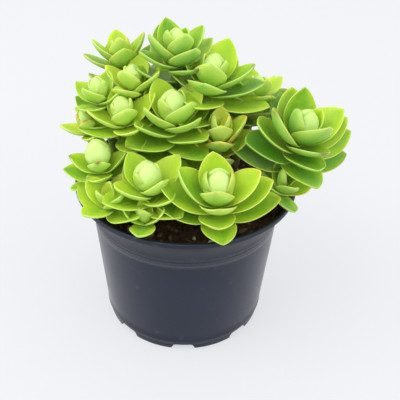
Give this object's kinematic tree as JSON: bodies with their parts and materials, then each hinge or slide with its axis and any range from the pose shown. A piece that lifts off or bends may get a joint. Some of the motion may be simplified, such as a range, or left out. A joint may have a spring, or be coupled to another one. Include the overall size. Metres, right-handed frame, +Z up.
{
  "type": "potted crassula",
  "caption": "Clump of fleshy decussate-leaved succulent shoots with round closed buds, growing in soil in a tapered round plastic nursery pot.",
  "frame": {"origin": "middle of the pot's base, on the surface that it stands on", "axes": "+Z up; -Y towards the front, +X to the right"},
  "size_m": [0.1412, 0.1277, 0.1523],
  "materials": {
    "pot_plastic": "satin black-blue polypropylene",
    "soil": "matt crumbly potting soil",
    "stem": "green-brown fleshy stem",
    "leaf": "waxy fleshy leaf, yellow-green with a paler edge",
    "bud": "smooth waxy pale lime bud"
  },
  "bodies": {
    "root": {"nursery_pot": "pot_plastic", "soil": "soil", "front_stem": "stem", "right_stem": "stem", "centre_stem": "stem", "lower_left_stem": "stem", "left_low_stem": "stem", "upper_right_stem": "stem", "left_middle_stem": "stem", "top_stem": "stem", "upper_left_stem": "stem", "left_high_stem": "stem", "left_edge_stem": "stem", "far_left_stem": "stem", "pot_edge_stem": "stem", "front_small_stem": "stem", "middle_small_stem": "stem", "left_rim_stem": "stem", "right_low_stem": "stem", "right_back_stem": "stem", "back_right_stem": "stem", "back_left_stem": "stem", "back_edge_stem": "stem", "front_leaves": "leaf", "right_leaves": "leaf", "centre_leaves": "leaf", "lower_left_leaves": "leaf", "left_low_leaves": "leaf", "upper_right_leaves": "leaf", "left_middle_leaves": "leaf", "top_leaves": "leaf", "upper_left_leaves": "leaf", "left_high_leaves": "leaf", "left_edge_leaves": "leaf", "far_left_leaves": "leaf", "pot_edge_leaves": "leaf", "front_small_leaves": "leaf", "middle_small_leaves": "leaf", "left_rim_leaves": "leaf", "right_low_leaves": "leaf", "right_back_leaves": "leaf", "back_right_leaves": "leaf", "back_left_leaves": "leaf", "back_edge_leaves": "leaf", "front_bud": "bud", "right_bud": "bud", "centre_bud": "bud", "lower_left_bud": "bud", "left_low_bud": "bud", "upper_right_bud": "bud", "left_middle_bud": "bud", "top_bud": "bud", "upper_left_bud": "bud", "left_high_bud": "bud", "left_edge_bud": "bud", "far_left_bud": "bud", "right_back_bud": "bud", "back_right_bud": "bud", "back_left_bud": "bud", "back_edge_bud": "bud"}
  },
  "joints": []
}
